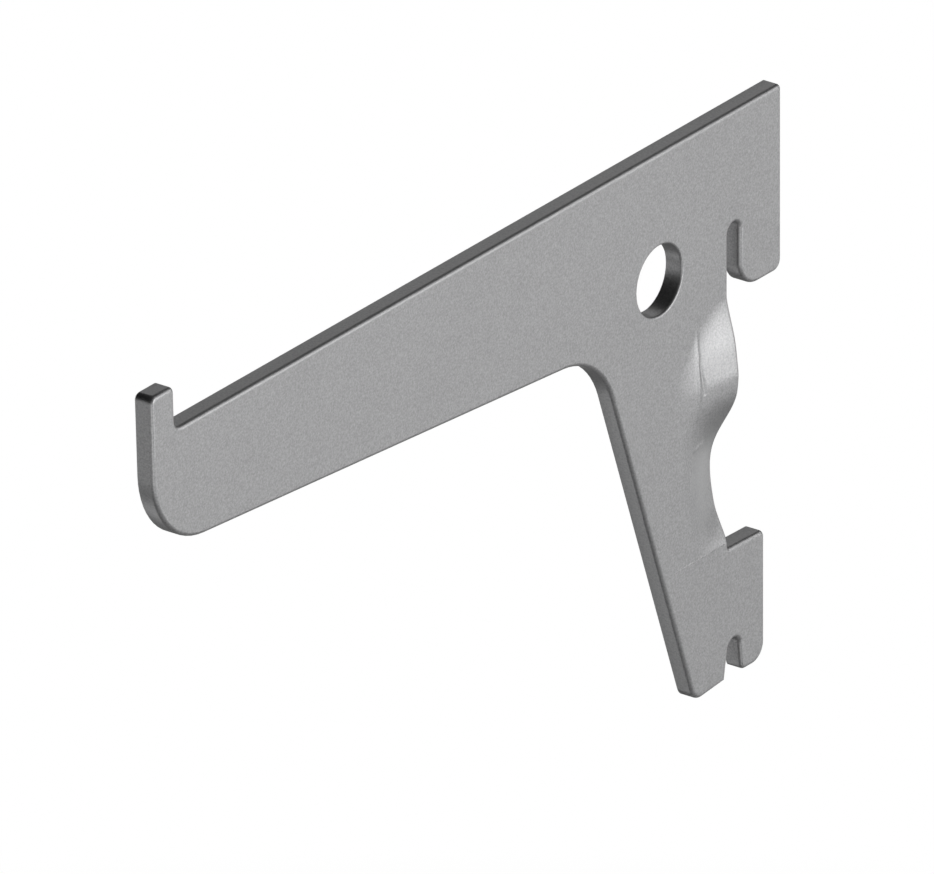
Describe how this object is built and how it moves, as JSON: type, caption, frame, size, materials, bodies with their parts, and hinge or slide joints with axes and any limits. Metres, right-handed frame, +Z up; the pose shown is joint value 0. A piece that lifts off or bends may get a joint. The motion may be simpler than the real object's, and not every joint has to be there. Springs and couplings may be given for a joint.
{
  "type": "slotted shelf bracket",
  "caption": "Flat stamped steel shelf bracket that hooks into a slotted wall rail, with a front lip on its arm and a pressed wave on its leg.",
  "frame": {"origin": "seat of the upper slot, on the front face of the rail, at the middle of the sheet's thickness", "axes": "+X square to the sheet, towards its rounded punch side; +Y away from the shelf, into the rail and the wall; +Z up"},
  "size_m": [0.0063, 0.1156, 0.0735],
  "materials": {
    "silver_paint": "satin silver-grey paint with a fine grain"
  },
  "bodies": {
    "root": {"bracket": "silver_paint"}
  },
  "joints": []
}
